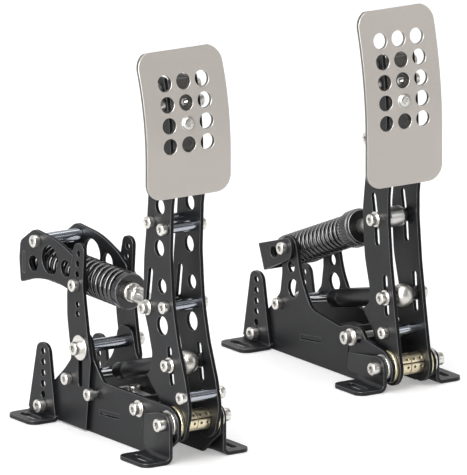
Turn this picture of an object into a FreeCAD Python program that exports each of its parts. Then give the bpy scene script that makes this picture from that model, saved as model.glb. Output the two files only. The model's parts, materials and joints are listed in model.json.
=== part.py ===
import FreeCAD, Part
import math
import os

V = FreeCAD.Vector

# Sheet, layers and clearances, in millimetres. X is across, +Y is away from the driver, +Z is up.
# Every unit is built about its own mid-plane, with its pivot at Y = 0 and its feet on Z = 0.
sheet = 3.0
fit = 0.05
gap = 0.1
beyond = 300.0
frame_half_gap = 17.0
arm_half_gap = 11.5
unit_spacing_x = 250.0
unit_spacing_y = 91.0

side_out = frame_half_gap + sheet
ear_in = side_out + 2.0
ear_out = ear_in + sheet
arm_out = arm_half_gap + sheet

# Fasteners: shank radius, head radius and head height, and the short screws' lengths
m6_r = 3.0
m6_head_r = 5.0
m6_head_h = 6.0
m6_screw = 16.0
m5_r = 2.5
m5_head_r = 4.6
m5_head_h = 5.0
m5_screw = 12.0
washer_t = 1.2
washer_r = 6.4
nut_flats = 8.0
nut_h = 4.0

# Pivot stack of the arms
axle_r = 4.0
axle_head_h = 6.6
bush_r = 8.0
hub_r = 14.5
lug_r = 12.4
thrust_washer_r = 12.2
pivot_washer_r = 10.0

# Feet
front_bend_r = 3.0
rear_bend_r = 1.3
flange_out = 47.0
flange_corner_r = 7.5
slot_width = 6.5
flange_slot_x = 37.0
slot_length = 23.0
rear_foot_base = 38.0
rear_foot_height = 57.0
rear_foot_tip_r = 7.5
rear_foot_pitch = 8.25
rear_foot_hole_r = 2.8
rear_foot_bolt_z = 9.3

# Arm tubes and slots, pads and their brackets
tube_r = 4.0
arm_slot_width = 6.0
pad_hole_r = 5.9
pad_hole_pitch = 16.2
pad_row_pitch = 15.3
pad_corner_r = 12.5
pad_screw_r = 5.6
pad_screw_h = 2.4
pad_screw_shank_r = 3.0
bracket_hole_r = 4.5

# Cross plates' tabs, a little short of the side plates' outer faces, in slots with some play below
tab_recess = 0.5
tab_play = 0.8

# Brake: places from its pivot's Y and the floor
brake_pivot_z = 28.9
brake_foot_y = 161.5
brake_mast_pivot = (120.6, 109.0)
brake_spring_pin = (37.6, 108.3)
brake_damper_pin = (7.3, 70.8)
brake_side_bolt = (130.6, 35.9)
brake_front_bolt = (100.0, 30.3)
brake_slot_bolt = (40.5, 31.8)
brake_washer_bolt = (114.7, 62.7)
brake_big_washer_r = 9.4
brake_mast_tube_r = 4.8

brake_rod_r = 4.3
brake_cup_y = 82.5
brake_cup_r = 13.8
brake_web_y = 195.0
brake_web_below = 12.0
brake_web_above = 15.0
brake_coil_r = 14.0
brake_wire_r = 1.7
brake_turns = 17
brake_cage_tube = (177.7, 130.5)

brake_pad_width = 73.0
brake_pad_bottom = 197.0
brake_pad_top = 304.7
brake_pad_straight = 28.0
brake_pad_curve_r = 205.0
brake_pad_front_y = 3.6
brake_pad_rows = 4
brake_pad_screw_row = 2
brake_pad_top_row = 281.9
brake_bracket_low = 228.0
brake_bracket_high = 283.0
brake_bracket_depth = 22.0

brake_arm_tubes = [(31.6, 174.0), (14.0, 172.0), (11.8, 113.5), (-11.5, 50.0), (21.0, 276.0)]
brake_clamp_bolt = (16.6, 264.7)
brake_arm_holes = [(21.0, 187.5, 6.0), (22.0, 156.0, 6.2), (18.2, 128.0, 5.5), (18.0, 98.3, 7.2)]

load_cell_width = 12.7
load_cell_length = 42.0
load_cell_height = 12.0
load_cell_y = 52.0
load_cell_bolt_y = 78.0

# Throttle
throttle_pivot_z = 17.3
throttle_foot_y = 167.5
throttle_mast_pivot = (128.4, 83.0)
throttle_spring_pin = (18.7, 126.3)
throttle_damper_pin = (5.3, 69.0)
throttle_side_bolt = (139.7, 37.6)
throttle_slot_bolt = (42.0, 32.2)

throttle_eye_r = 7.9
throttle_eye_half = 8.2
throttle_shank_r = 5.9
throttle_rod_r = 4.0
throttle_collar_y = 69.0
throttle_collar_r = 12.8
throttle_ring_y = 80.0
throttle_ring_r = 14.3
throttle_web_y = 160.0
throttle_coil_r = 12.5
throttle_wire_r = 1.4
throttle_turns = 12

throttle_pad_width = 67.0
throttle_pad_bottom = 154.0
throttle_pad_top = 286.5
throttle_pad_straight = 36.0
throttle_pad_curve_r = 310.0
throttle_pad_front_y = 1.8
throttle_pad_rows = 5
throttle_pad_screw_row = 3
throttle_pad_top_row = 263.9
throttle_bracket_low = 195.0
throttle_bracket_high = 250.0
throttle_bracket_depth = 20.0

throttle_arm_tubes = [(26.0, 187.0), (12.0, 157.0), (5.0, 42.3), (18.6, 243.7)]
throttle_clamp_bolt = (14.7, 230.2)

# Position sensor on the throttle's cross plate
sensor_width = 20.0
sensor_length = 26.0
sensor_height = 9.0
sensor_y = 58.0

# Linkage pieces that both units share
eye_r = 8.0
eye_half = 5.0
eye_slack = 0.9
pin_spacer_r = 5.5
damper_r = 7.2
damper_nose_r = 6.8
damper_nose = 15.5
damper_body_length = 96.0
damper_rod_r = 2.3
damper_eye_r = 8.75
damper_eye_half = 6.5


def outline(corners):
    """Face in the YZ plane through (y, z, corner radius) points, each corner rounded."""
    count = len(corners)
    points = [V(0, y, z) for y, z, _ in corners]
    arcs = []
    for i, (_, _, radius) in enumerate(corners):
        here, before, after = points[i], points[i - 1], points[(i + 1) % count]
        back, ahead = (before - here), (after - here)
        half = back.getAngle(ahead) / 2
        room = 0.48 * min(back.Length, ahead.Length)
        reach = min(radius / math.tan(half), room)
        radius = reach * math.tan(half)
        start = here + back.normalize() * reach
        end = here + ahead.normalize() * reach
        if reach < 0.01:
            arcs.append((here, None, here))
            continue
        inward = (back + ahead).normalize()
        middle = here + inward * (radius / math.sin(half) - radius)
        arcs.append((start, middle, end))
    edges = []
    for i, (start, middle, end) in enumerate(arcs):
        if middle:
            edges.append(Part.Arc(start, middle, end).toShape())
        following = arcs[(i + 1) % count][0]
        if end.distanceToPoint(following) > 1e-6:
            edges.append(Part.LineSegment(end, following).toShape())
    return Part.Face(Part.Wire(edges))


def plate(corners, x_low, x_high):
    """Flat plate between two X planes with a rounded outline in YZ."""
    solid = outline(corners).extrude(V(x_high - x_low, 0, 0))
    solid.translate(V(x_low, 0, 0))
    return solid


def rod_x(place, radius, x_low, x_high):
    """Cylinder along X at a (y, z) place."""
    return Part.makeCylinder(radius, x_high - x_low, V(x_low, place[0], place[1]), V(1, 0, 0))


def ring_x(place, outer, inner, x_low, x_high):
    """Washer, bush or tube along X."""
    return rod_x(place, outer, x_low, x_high).cut(rod_x(place, inner, x_low - 1, x_high + 1))


def slot_x(start, end, width, x_low, x_high):
    """Stadium-shaped cutter along X between two (y, z) places."""
    along = V(0, end[0] - start[0], end[1] - start[1])
    angle = math.degrees(math.atan2(along.z, along.y))
    bar = Part.makeBox(x_high - x_low, along.Length, width, V(0, 0, -width / 2))
    bar.rotate(V(0, 0, 0), V(1, 0, 0), angle)
    bar.translate(V(x_low, start[0], start[1]))
    ends = [rod_x(place, width / 2, x_low, x_high) for place in (start, end)]
    return bar.fuse(ends).removeSplitter()


def mirrored(shape):
    return shape.mirror(V(0, 0, 0), V(1, 0, 0))


def drilled(solid, places, radius):
    """Solid with holes along X at the (y, z) places."""
    for place in places:
        solid = solid.cut(rod_x(place, radius, -beyond, beyond))
    return solid


def through_bolt(place, half_grip, shank_r, head_r, head_h):
    """Cross bolt with a round head on the left and a nut on the right, one solid each."""
    nut_end = half_grip + nut_h
    shank = rod_x(place, shank_r, -half_grip, nut_end + 1)
    head = rod_x(place, head_r, -half_grip - head_h, -half_grip)
    nut = hex_x(place, nut_flats, half_grip, nut_end).cut(rod_x(place, shank_r + fit, 0, nut_end + 2))
    return [shank.fuse(head).removeSplitter(), nut]


def screw_pair(place, outer, length, shank_r, head_r, head_h):
    """Left and right short screws whose heads sit on the outer faces."""
    right = rod_x(place, shank_r, outer - length, outer).fuse(rod_x(place, head_r, outer, outer + head_h))
    right = right.removeSplitter()
    return [mirrored(right), right]


def hex_x(place, flats, x_low, x_high):
    """Hexagonal prism along X."""
    radius = flats / math.sqrt(3)
    turns = [math.radians(60 * k) for k in range(6)]
    corners = [(place[0] + radius * math.cos(a), place[1] + radius * math.sin(a), 0) for a in turns]
    return plate(corners, x_low, x_high)


def plan_prism(x_low, x_high, y_low, y_high, z_low, z_high, corner_r):
    """Upright prism over a rectangle whose two outer corners are rounded."""
    corners = [(x_low, y_low, 0), (x_high, y_low, corner_r), (x_high, y_high, corner_r), (x_low, y_high, 0)]
    face = outline([(x, y, r) for x, y, r in corners])
    solid = face.extrude(V(z_high - z_low, 0, 0))
    turn = FreeCAD.Placement(FreeCAD.Matrix(0, 1, 0, 0, 0, 0, 1, 0, 1, 0, 0, z_low, 0, 0, 0, 1))
    solid.Placement = turn
    return solid


def bent_section(face_x, height, reach, bend_r):
    """L-shaped sheet section in XZ whose upright's outer face is at face_x, as a face at Y = 0."""
    root = bend_r + sheet
    corners = [
        (face_x - sheet, height, 0), (face_x, height, 0), (face_x, sheet, bend_r),
        (reach, sheet, 0), (reach, 0, 0), (face_x - sheet, 0, root),
    ]
    face = outline([(x, z, r) for x, z, r in corners])
    face.rotate(V(0, 0, 0), V(0, 0, 1), -90)
    return face


def front_foot(pivot_z, root_y, ear, flange_y, slot_y):
    """Right front foot: an ear that splays from the side plate, bent out to a slotted flange."""
    fold_y = pivot_washer_r + 1.5
    front_y = flange_y[0]
    section = bent_section(ear_out, pivot_z + 30, flange_out + 5, front_bend_r)
    section.translate(V(0, fold_y, 0))
    straight = section.extrude(V(0, front_y - fold_y, 0))
    splayed = section.extrude(V(side_out - ear_out, root_y - fold_y, 0))
    root = front_bend_r + sheet
    upright = plate(ear, side_out, ear_out + 1)
    upright = upright.cut(Part.makeBox(beyond, beyond, root, V(0, -beyond / 2, 0)))
    flange = plan_prism(side_out, flange_out, flange_y[0], flange_y[1], 0, root, flange_corner_r)
    foot = straight.fuse(splayed).common(upright.fuse(flange))
    foot = foot.cut(flange_slot(slot_y))
    return drilled(foot, [(0, pivot_z)], axle_r + fit).removeSplitter()


def rear_foot(face_x, apex_y, front, back):
    """Right rear foot: a triangular upright with height holes, bent out to a slotted flange."""
    root = rear_bend_r + sheet
    base_front = apex_y - front
    section = bent_section(face_x, rear_foot_height, flange_out + 5, rear_bend_r)
    section.translate(V(0, base_front, 0))
    bent = section.extrude(V(0, rear_foot_base, 0))
    tip = rear_foot_tip_r
    upright = plate([
        (base_front, 0, 0), (apex_y - tip, rear_foot_height, tip),
        (apex_y + tip, rear_foot_height, tip), (base_front + rear_foot_base, 0, 0),
    ], face_x - sheet, face_x)
    upright = upright.cut(Part.makeBox(beyond, beyond, root))
    flange = plan_prism(face_x - sheet, flange_out, base_front, apex_y + back, 0, root, flange_corner_r)
    foot = bent.common(upright.fuse(flange)).cut(flange_slot(apex_y))
    holes = [(apex_y, rear_foot_bolt_z + rear_foot_pitch * k) for k in range(1, 6)]
    foot = drilled(foot, holes, rear_foot_hole_r)
    return drilled(foot, [(apex_y, rear_foot_bolt_z)], m6_r + fit).removeSplitter()


def flange_slot(y):
    """Cutter for a foot's slot, along Y."""
    straight = (slot_length - slot_width) / 2
    cutter = Part.makeBox(slot_width, 2 * straight, 20, V(flange_slot_x - slot_width / 2, y - straight, -5))
    for end in (y - straight, y + straight):
        cutter = cutter.fuse(Part.makeCylinder(slot_width / 2, 20, V(flange_slot_x, end, -5)))
    return cutter.removeSplitter()


def pad_profile(bottom, top, straight, curve_r, front_y, inset, depth):
    """Face of the pad's section in YZ: straight at the bottom, then an arc leaning back."""
    bend_z = bottom + straight
    centre = V(0, front_y + curve_r, bend_z)
    inner, outer = curve_r - inset - depth, curve_r - inset
    rise = math.asin((top - bend_z) / outer)

    def on_arc(radius, share):
        return centre + V(0, -radius * math.cos(rise * share), radius * math.sin(rise * share))

    front_low = V(0, front_y + inset, bottom)
    back_low = V(0, front_y + inset + depth, bottom)
    edges = [
        Part.LineSegment(front_low, on_arc(outer, 0)).toShape(),
        Part.Arc(on_arc(outer, 0), on_arc(outer, 0.5), on_arc(outer, 1)).toShape(),
        Part.LineSegment(on_arc(outer, 1), on_arc(inner, 1)).toShape(),
        Part.Arc(on_arc(inner, 1), on_arc(inner, 0.5), on_arc(inner, 0)).toShape(),
        Part.LineSegment(on_arc(inner, 0), back_low).toShape(),
        Part.LineSegment(back_low, front_low).toShape(),
    ]
    return Part.Face(Part.Wire(edges))


def sheet_across(profile, half_width):
    solid = profile.extrude(V(2 * half_width, 0, 0))
    solid.translate(V(-half_width, 0, 0))
    return solid


def rod_y(x, z, radius, y_low, y_high):
    """Cylinder along Y."""
    return Part.makeCylinder(radius, y_high - y_low, V(x, y_low, z), V(0, 1, 0))


def rounded_front(half_width, bottom, top, corner_r):
    """Prism along Y over the pad's rounded front view."""
    corners = [
        (-half_width, bottom, corner_r), (half_width, bottom, corner_r),
        (half_width, top, corner_r), (-half_width, top, corner_r),
    ]
    face = outline([(x, z, r) for x, z, r in corners])
    face.rotate(V(0, 0, 0), V(0, 0, 1), -90)
    face.translate(V(0, -40, 0))
    return face.extrude(V(0, 140, 0))


class Pad:
    """A unit's pad with the bracket behind it and the screw that holds both."""

    def __init__(self, width, bottom, top, straight, curve_r, front_y, rows, screw_row, top_row):
        self.shape_values = (bottom, top, straight, curve_r, front_y)
        self.half_width = width / 2
        self.bottom, self.top = bottom, top
        self.front_y = front_y
        self.rows = [top_row - pad_row_pitch * k for k in range(rows)]
        self.screw_z = self.rows[screw_row]
        self.screw_y = front_y + self.lean(self.screw_z)

    def lean(self, z):
        """How far the front face has moved back at a height."""
        bottom, _, straight, curve_r, _ = self.shape_values
        above = max(0.0, z - bottom - straight)
        return curve_r - math.sqrt(curve_r ** 2 - above ** 2)

    def pad(self):
        solid = sheet_across(pad_profile(*self.shape_values, 0, sheet), self.half_width)
        solid = solid.common(rounded_front(self.half_width, self.bottom, self.top, pad_corner_r))
        for z in self.rows:
            for column in (-1, 0, 1):
                if column == 0 and z == self.screw_z:
                    solid = solid.cut(self.square_to_face(rod_y(0, 0, pad_screw_shank_r + fit, -20, 60)))
                else:
                    solid = solid.cut(rod_y(column * pad_hole_pitch, z, pad_hole_r, -20, 60))
        return solid

    def square_to_face(self, shape):
        """Moves a shape built about the Y axis to the screw's place, square to the front face."""
        bottom, _, straight, curve_r, _ = self.shape_values
        slope = max(0.0, self.screw_z - bottom - straight) / curve_r
        shape.rotate(V(0, 0, 0), V(1, 0, 0), -math.degrees(math.asin(slope)))
        shape.translate(V(0, self.screw_y, self.screw_z))
        return shape

    def front_space(self):
        """Everything in front of the pad's back face, used to trim the arm plates."""
        return sheet_across(pad_profile(*self.shape_values, -40, 40 + sheet), 40)

    def bracket(self, low, high, depth, bolts):
        """Channel behind the pad: a web along its back and a flange inside each arm plate."""
        half = arm_half_gap - gap
        body = sheet_across(pad_profile(*self.shape_values, sheet, depth), half)
        hollow = sheet_across(pad_profile(*self.shape_values, 2 * sheet, depth), half - sheet)
        body = body.cut(hollow).common(Part.makeBox(40, 100, high - low, V(-20, -20, low)))
        for z in self.rows:
            if z == self.screw_z:
                body = body.cut(self.square_to_face(rod_y(0, 0, pad_screw_shank_r + fit, -20, 60)))
            elif low < z - bracket_hole_r and z + bracket_hole_r < high:
                body = body.cut(rod_y(0, z, bracket_hole_r, -20, 60))
        return drilled(body, bolts, tube_r + fit)

    def screw(self):
        """Cap screw, square to the pad, through the bracket's web."""
        head = rod_y(0, 0, pad_screw_r, -pad_screw_h, 0)
        shank = rod_y(0, 0, pad_screw_shank_r, 0, 2 * sheet + 5)
        return self.square_to_face(head.fuse(shank).removeSplitter())


def helix_point(radius, pitch, turn):
    angle = 2 * math.pi * turn
    return V(radius * math.cos(angle), radius * math.sin(angle), pitch * turn)


def helix_tangent(radius, pitch, turn):
    angle = 2 * math.pi * turn
    return V(-radius * math.sin(angle), radius * math.cos(angle), pitch / (2 * math.pi)).normalize()


def arc_from(start, tangent, end):
    """Circular edge that leaves start along tangent and ends at end."""
    chord = end - start
    side = tangent.cross(chord).cross(tangent).normalize()
    radius = chord.dot(chord) / (2 * chord.dot(side))
    centre = start + side * radius
    turn = 2 * tangent.getAngle(chord)
    middle = centre - side * (radius * math.cos(turn / 2)) + tangent * (radius * math.sin(turn / 2))
    return Part.Arc(start, middle, end).toShape()


def biarc(start, start_way, end, end_way):
    """Two arcs from one point and direction to another."""
    chord = end - start
    both = start_way + end_way
    a = 2 * (1 - start_way.dot(end_way))
    b = 2 * chord.dot(both)
    reach = (-b + math.sqrt(b * b + 4 * a * chord.dot(chord))) / (2 * a)
    joint = (start + end + (start_way - end_way) * reach) * 0.5
    first = arc_from(start, start_way, joint)
    joint_way = (joint - start - start_way * reach).normalize()
    return [first, arc_from(joint, joint_way, end)]


def least_gap(path, wire_r, turns):
    """Least space between a coil's turns, measured between points of its centre line."""
    per_turn = 24
    points = path.discretize(Number=turns * per_turn + 1)
    apart = per_turn // 2
    nearest = min(a.distanceToPoint(b) for i, a in enumerate(points) for b in points[i + apart:])
    return nearest - 2 * wire_r


def coil(mean_r, wire_r, turns, length, name):
    """Open coil along +Z from 0 to length, one unbroken tube."""
    pitch = (length - 2 * wire_r) / turns
    step = 0.5
    edges = []
    for i in range(int(turns / step)):
        a, b = i * step, (i + 1) * step
        edges += biarc(
            helix_point(mean_r, pitch, a), helix_tangent(mean_r, pitch, a),
            helix_point(mean_r, pitch, b), helix_tangent(mean_r, pitch, b),
        )
    path = Part.Wire(edges)
    print(name, "least gap to itself", round(least_gap(path, wire_r, turns), 2))
    way = helix_tangent(mean_r, pitch, 0)
    across = V(1, 0, 0) * wire_r
    up = way.cross(across)
    start = helix_point(mean_r, pitch, 0)
    corners = [start + across, start + up, start - across, start - up]
    solid = path.makePipeShell([Part.makePolygon(corners + corners[:1])], True, False)
    solid.translate(V(0, 0, wire_r))
    return solid


class Axis:
    """A line in the mid-plane from one (y, z) place towards another, with distances along it."""

    def __init__(self, start, end):
        self.start = V(0, start[0], start[1])
        self.end = V(0, end[0], end[1])
        self.way = (self.end - self.start).normalize()
        self.angle = math.degrees(math.atan2(self.way.z, self.way.y))

    def at_y(self, y):
        """Distance along the line where it reaches a Y."""
        return (y - self.start.y) / self.way.y

    def corner(self, along, up, radius):
        """Outline corner at a distance along the line and square to it."""
        return (
            self.start.y + self.way.y * along - self.way.z * up,
            self.start.z + self.way.z * along + self.way.y * up,
            radius,
        )

    def lay(self, shape, along=0):
        """Moves a shape built along +Y from the origin onto the line."""
        shape.rotate(V(0, 0, 0), V(1, 0, 0), self.angle)
        shape.translate(self.start + self.way * along)
        return shape

    def stand(self, shape):
        """Moves a shape built along +Z from the origin onto the line."""
        shape.rotate(V(0, 0, 0), V(1, 0, 0), -90)
        return self.lay(shape)

    def cylinder(self, radius, low, high):
        return Part.makeCylinder(radius, high - low, self.start + self.way * low, self.way)

    def ring(self, outer, inner, low, high):
        return self.cylinder(outer, low, high).cut(self.cylinder(inner, low - 1, high + 1))


def eye(place, radius, half_width, bore):
    """Ball-shaped rod eye on a pin along X."""
    ball = Part.makeSphere(radius, V(0, place[0], place[1]))
    ball = ball.common(rod_x(place, radius + 1, -half_width, half_width))
    return ball.cut(rod_x(place, bore, -30, 30))


def rim_rounded(solid, place, radius):
    """Solid whose round rim about a point is filleted."""
    rim = [edge for edge in solid.Edges if edge.CenterOfMass.distanceToPoint(place) < fit]
    return solid.makeFillet(radius, rim)


def u_channel(line, back, half_width, bend_r, half_height):
    """Sheet bent to a U about a line, open to the front, with its web's rear face at a distance."""
    inner = half_width - sheet
    outer_r = bend_r + sheet
    corners = [
        (0, -half_width, 0), (back, -half_width, outer_r), (back, half_width, outer_r), (0, half_width, 0),
        (0, inner, 0), (back - sheet, inner, bend_r), (back - sheet, -inner, bend_r), (0, -inner, 0),
    ]
    solid = plate(corners, -half_height, half_height)
    solid.rotate(V(0, 0, 0), V(0, 1, 0), 90)
    return line.lay(solid)


parts = {}


def keep(unit, name, shape, offset):
    """Stores a sub-part, moved to its unit's place."""
    shapes = shape if isinstance(shape, list) else [shape]
    moved = []
    for one in shapes:
        for solid in one.Solids:
            copy = solid.copy()
            copy.translate(offset)
            moved.append(copy)
    parts[unit + "_" + name] = moved


def both(right):
    """A right-hand piece and its left-hand twin."""
    return [mirrored(right), right]


def side_plate(corners, bolts_m5, bolts_m6, slots, others):
    solid = plate(corners, frame_half_gap, side_out)
    solid = drilled(solid, bolts_m5, m5_r + fit)
    solid = drilled(solid, bolts_m6, m6_r + fit)
    for start, end, width in slots:
        solid = solid.cut(slot_x(start, end, width, frame_half_gap - 1, side_out + 1))
    for place, radius in others:
        solid = drilled(solid, [place], radius)
    return solid


def arm_plate(corners, pivot_z, pad, tubes, clamp, holes, slots):
    solid = plate(corners, arm_half_gap, arm_out).fuse(rod_x((0, pivot_z), hub_r, arm_half_gap, arm_out))
    solid = solid.removeSplitter().cut(pad.front_space())
    solid = drilled(solid, [(0, pivot_z)], axle_r + fit)
    solid = drilled(solid, tubes + [clamp], m5_r + fit)
    for y, z, radius in holes:
        solid = drilled(solid, [(y, z)], radius)
    for start, end in slots:
        solid = solid.cut(slot_x(start, end, arm_slot_width, arm_half_gap - 1, arm_out + 1))
    return solid


def arm_tubes(places):
    return [ring_x(place, tube_r, m5_r + fit, -arm_half_gap, arm_half_gap) for place in places]


def arm_bolts(places):
    """Screws from both sides into the ends of the arm tubes and into the bracket."""
    found = []
    for place in places:
        found += screw_pair(place, arm_out, m5_screw, m5_r, m5_head_r, m5_head_h)
    return found


def linkage_pin(place, spacer_in):
    """Pin across the arm plates with washers and the dark spacers beside its rod eye."""
    outer = arm_out + washer_t
    pin = rod_x(place, m5_r, -outer, outer)
    pin = pin.fuse([
        rod_x(place, m5_head_r, -outer - m5_head_h, -outer),
        rod_x(place, m5_head_r, outer, outer + m5_head_h),
    ]).removeSplitter()
    washer = ring_x(place, washer_r - 0.6, m5_r + fit, arm_out, outer)
    spacer = ring_x(place, pin_spacer_r, m5_r + fit, spacer_in, arm_half_gap)
    return [pin, washer, mirrored(washer), spacer, mirrored(spacer)]


def pivot_set(unit, pivot_z, offset):
    place = (0, pivot_z)
    axle = rod_x(place, axle_r, -ear_out, ear_out)
    axle = axle.fuse([
        rod_x(place, m6_head_r, ear_out, ear_out + axle_head_h),
        rod_x(place, m6_head_r, -ear_out - axle_head_h, -ear_out),
    ]).removeSplitter()
    keep(unit, "pivot_axle", axle, offset)
    thrust_washer = ring_x(place, thrust_washer_r, axle_r + fit, arm_out + gap, frame_half_gap)
    keep(unit, "thrust_washers", both(thrust_washer), offset)
    keep(unit, "pivot_bushes", both(ring_x(place, bush_r, axle_r + fit, gap / 2, arm_half_gap)), offset)
    return both(ring_x(place, pivot_washer_r, axle_r + fit, side_out, ear_in))


def damper(unit, pin, rear, offset):
    """Damper body on the arm's pin and its rod with an eye on the rear bolt."""
    line = Axis(pin, rear)
    length = (line.end - line.start).Length
    body_at = damper_eye_r + 2
    nose_at = damper_body_length - damper_nose
    nose = line.cylinder(damper_nose_r, nose_at, damper_body_length)
    nose = rim_rounded(nose, line.start + line.way * damper_body_length, 3.0)
    bore = line.cylinder(damper_rod_r + 0.3, 30, damper_body_length + 1)
    body = line.cylinder(damper_r, body_at, nose_at).fuse(nose).cut(bore)
    neck = line.cylinder(3.5, damper_eye_r - 2, body_at).cut(rod_x(pin, m5_r + 2, -20, 20))
    front = eye(pin, damper_eye_r, damper_eye_half, m5_r + fit).fuse(neck).removeSplitter()
    keep(unit, "damper_body", body, offset)
    keep(unit, "damper_eye", front, offset)
    rear_eye = eye(rear, 6.8, eye_half - 0.5, m5_r + eye_slack)
    rod = line.cylinder(damper_rod_r, 45, length - 4).cut(rod_x(rear, m5_r + 2, -20, 20))
    keep(unit, "damper_rod", rod.fuse(rear_eye).removeSplitter(), offset)
    return both(ring_x(rear, 4.0, m5_r + fit, eye_half + 0.2, frame_half_gap))


def cross_plate(tab_y, tab_z, slope, front_y, front_z, rear_y):
    """Sloping shelf between the side plates, tabbed through them, with an upright front wall."""
    half = frame_half_gap - fit
    drop = math.tan(math.radians(slope))
    middle = (tab_y[0] + tab_y[1]) / 2

    def shelf_z(y):
        return tab_z - sheet / 2 + (y - middle) * drop

    corners = [
        (front_y, shelf_z(front_y), sheet + 2), (rear_y, shelf_z(rear_y), 0),
        (rear_y, shelf_z(rear_y) + sheet, 0), (front_y + sheet, shelf_z(front_y) + sheet, 2),
        (front_y + sheet, front_z, 1), (front_y, front_z, 1),
    ]
    shelf = plate(corners, -half, half)
    low, high = tab_y[0] + fit, tab_y[1] - fit
    tab = plate([
        (low, shelf_z(low), 0), (high, shelf_z(high), 0),
        (high, shelf_z(high) + sheet, 0), (low, shelf_z(low) + sheet, 0),
    ], tab_recess - side_out, side_out - tab_recess)
    return shelf.fuse(tab).removeSplitter(), shelf_z


def tab_cut(tab_y, shelf_z):
    low, high = tab_y
    return plate([
        (low, shelf_z(low) - tab_play, 0), (high, shelf_z(high) - tab_play, 0),
        (high, shelf_z(high) + sheet + fit, 0), (low, shelf_z(low) + sheet + fit, 0),
    ], -beyond, beyond)


def build_brake(offset):
    unit = "brake"
    pivot = (0, brake_pivot_z)
    foot_bolt = (brake_foot_y, rear_foot_bolt_z)
    mast_y, mast_z = brake_mast_pivot
    bolt_y, bolt_z = brake_washer_bolt
    mast_out = side_out + sheet
    tab_y = (68.0, 94.0)

    shelf, shelf_z = cross_plate(tab_y, 19.0, -3.7, 47.0, 38.0, 108.0)
    side = side_plate([
        (13, 0, 1), (172, 0, 6), (171, 16, 6), (133, 48, 20), (bolt_y + 10.5, bolt_z + 10.5, 10),
        (bolt_y - 7.5, bolt_z + 11, 9), (102, 55, 12), (89, 41, 8), (-1, brake_pivot_z + lug_r, 12),
        (-lug_r, brake_pivot_z + 6, 9), (-lug_r + 1, brake_pivot_z - 10, 6),
    ], [brake_side_bolt, brake_front_bolt], [foot_bolt, brake_washer_bolt],
        [((37.5, brake_slot_bolt[1]), (43.5, brake_slot_bolt[1]), 6.8)], [(pivot, axle_r + fit)])
    side = side.cut(tab_cut(tab_y, shelf_z))
    keep(unit, "left_side_plate", mirrored(side), offset)
    keep(unit, "right_side_plate", side, offset)

    mast = plate([
        (108, 1, 1.5), (101.6, 54.5, 4), (104.6, 66, 60), (112.3, 109, 60), (109.8, 141, 6.5),
        (123.2, 141, 6.5), (133.4, 102, 25), (133.2, 82, 60), (127.6, 52, 6), (150.5, 28, 20),
        (172, 14, 7), (173, 1, 5),
    ], side_out, mast_out)
    mast = drilled(mast, [brake_side_bolt, brake_front_bolt, brake_mast_pivot], m5_r + fit)
    mast = drilled(mast, [foot_bolt, brake_washer_bolt], m6_r + fit)
    row = [(mast_y - 3.2, 133.3), (mast_y - 1.8, 125.3), (mast_y - 0.9, 117.3)]
    row += [(mast_y - 1.2, 101.7 - 7.3 * k) for k in range(3)]
    mast = drilled(mast, [place for place in row if abs(place[1] - mast_z) > 7.5], m5_r)
    mast = mast.cut(slot_x((115.5, 35.5), (115.5, bolt_z - 12), 5.8, side_out - 1, mast_out + 1))
    keep(unit, "left_mast", mirrored(mast), offset)
    keep(unit, "right_mast", mast, offset)
    spacers = [ring_x(brake_washer_bolt, brake_mast_tube_r, m6_r + fit, -frame_half_gap, frame_half_gap)]

    ear = [
        (-7.8, 0, 0), (34.5, 0, 0), (34.5, 29, 3), (8, brake_pivot_z + 7.6, 10), (-3, brake_pivot_z + 8.3, 7),
        (-7.8, brake_pivot_z + 2, 7),
    ]
    keep(unit, "front_feet", both(front_foot(brake_pivot_z, 34.5, ear, (-7.8, 30.0), 11.0)), offset)
    keep(unit, "rear_feet", both(rear_foot(mast_out + sheet, brake_foot_y, 17.0, 18.5)), offset)

    washers = pivot_set(unit, brake_pivot_z, offset)
    slot_washer = ring_x(brake_slot_bolt, washer_r, m5_r + fit, side_out, side_out + washer_t)
    big_washer = ring_x(brake_washer_bolt, brake_big_washer_r, m6_r + fit, mast_out, mast_out + 1.6)
    washers += both(slot_washer) + both(big_washer)
    keep(unit, "washers", washers, offset)
    bolts = through_bolt(brake_slot_bolt, side_out + washer_t, m5_r, m5_head_r, m5_head_h)
    bolts += screw_pair(brake_washer_bolt, mast_out + 1.6, m6_screw, m6_r, m6_head_r, m6_head_h)
    bolts += through_bolt(brake_side_bolt, mast_out, m5_r, m5_head_r, m5_head_h)
    bolts += through_bolt(brake_front_bolt, mast_out, m5_r, m5_head_r, m5_head_h)
    bolts += screw_pair(brake_mast_pivot, mast_out, mast_out - 15.0, m5_r, m5_head_r, m5_head_h)
    bolts += screw_pair(foot_bolt, mast_out + sheet, m6_screw, m6_r, m6_head_r, m6_head_h)
    spacers += damper(unit, brake_damper_pin, brake_side_bolt, offset)
    keep(unit, "frame_spacers", spacers, offset)

    cell_low = shelf_z(load_cell_y + load_cell_length / 2) + sheet + 0.6
    cell_top = cell_low + load_cell_height
    cell_x = -load_cell_width / 2
    cell = Part.makeBox(load_cell_width, load_cell_length, load_cell_height, V(cell_x, load_cell_y, cell_low))
    foot = Part.makeBox(load_cell_width, 14, sheet, V(cell_x, load_cell_bolt_y - 7, cell_low - 2)).cut(shelf)
    shank_low = V(0, load_cell_bolt_y, shelf_z(load_cell_bolt_y))
    shank_h = cell_top - shank_low.z
    bore = Part.makeCylinder(m5_r + fit, beyond, V(0, load_cell_bolt_y, 0))
    cell_screw = Part.makeCylinder(m5_r, shank_h, shank_low)
    cell_screw = cell_screw.fuse(Part.makeCylinder(m5_head_r, m5_head_h, shank_low + V(0, 0, shank_h)))
    bolts.append(cell_screw.removeSplitter())
    keep(unit, "frame_bolts", bolts, offset)
    keep(unit, "load_cell", cell.fuse(foot).cut(shelf).removeSplitter().cut(bore), offset)
    keep(unit, "cross_plate", shelf.cut(bore), offset)

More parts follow.
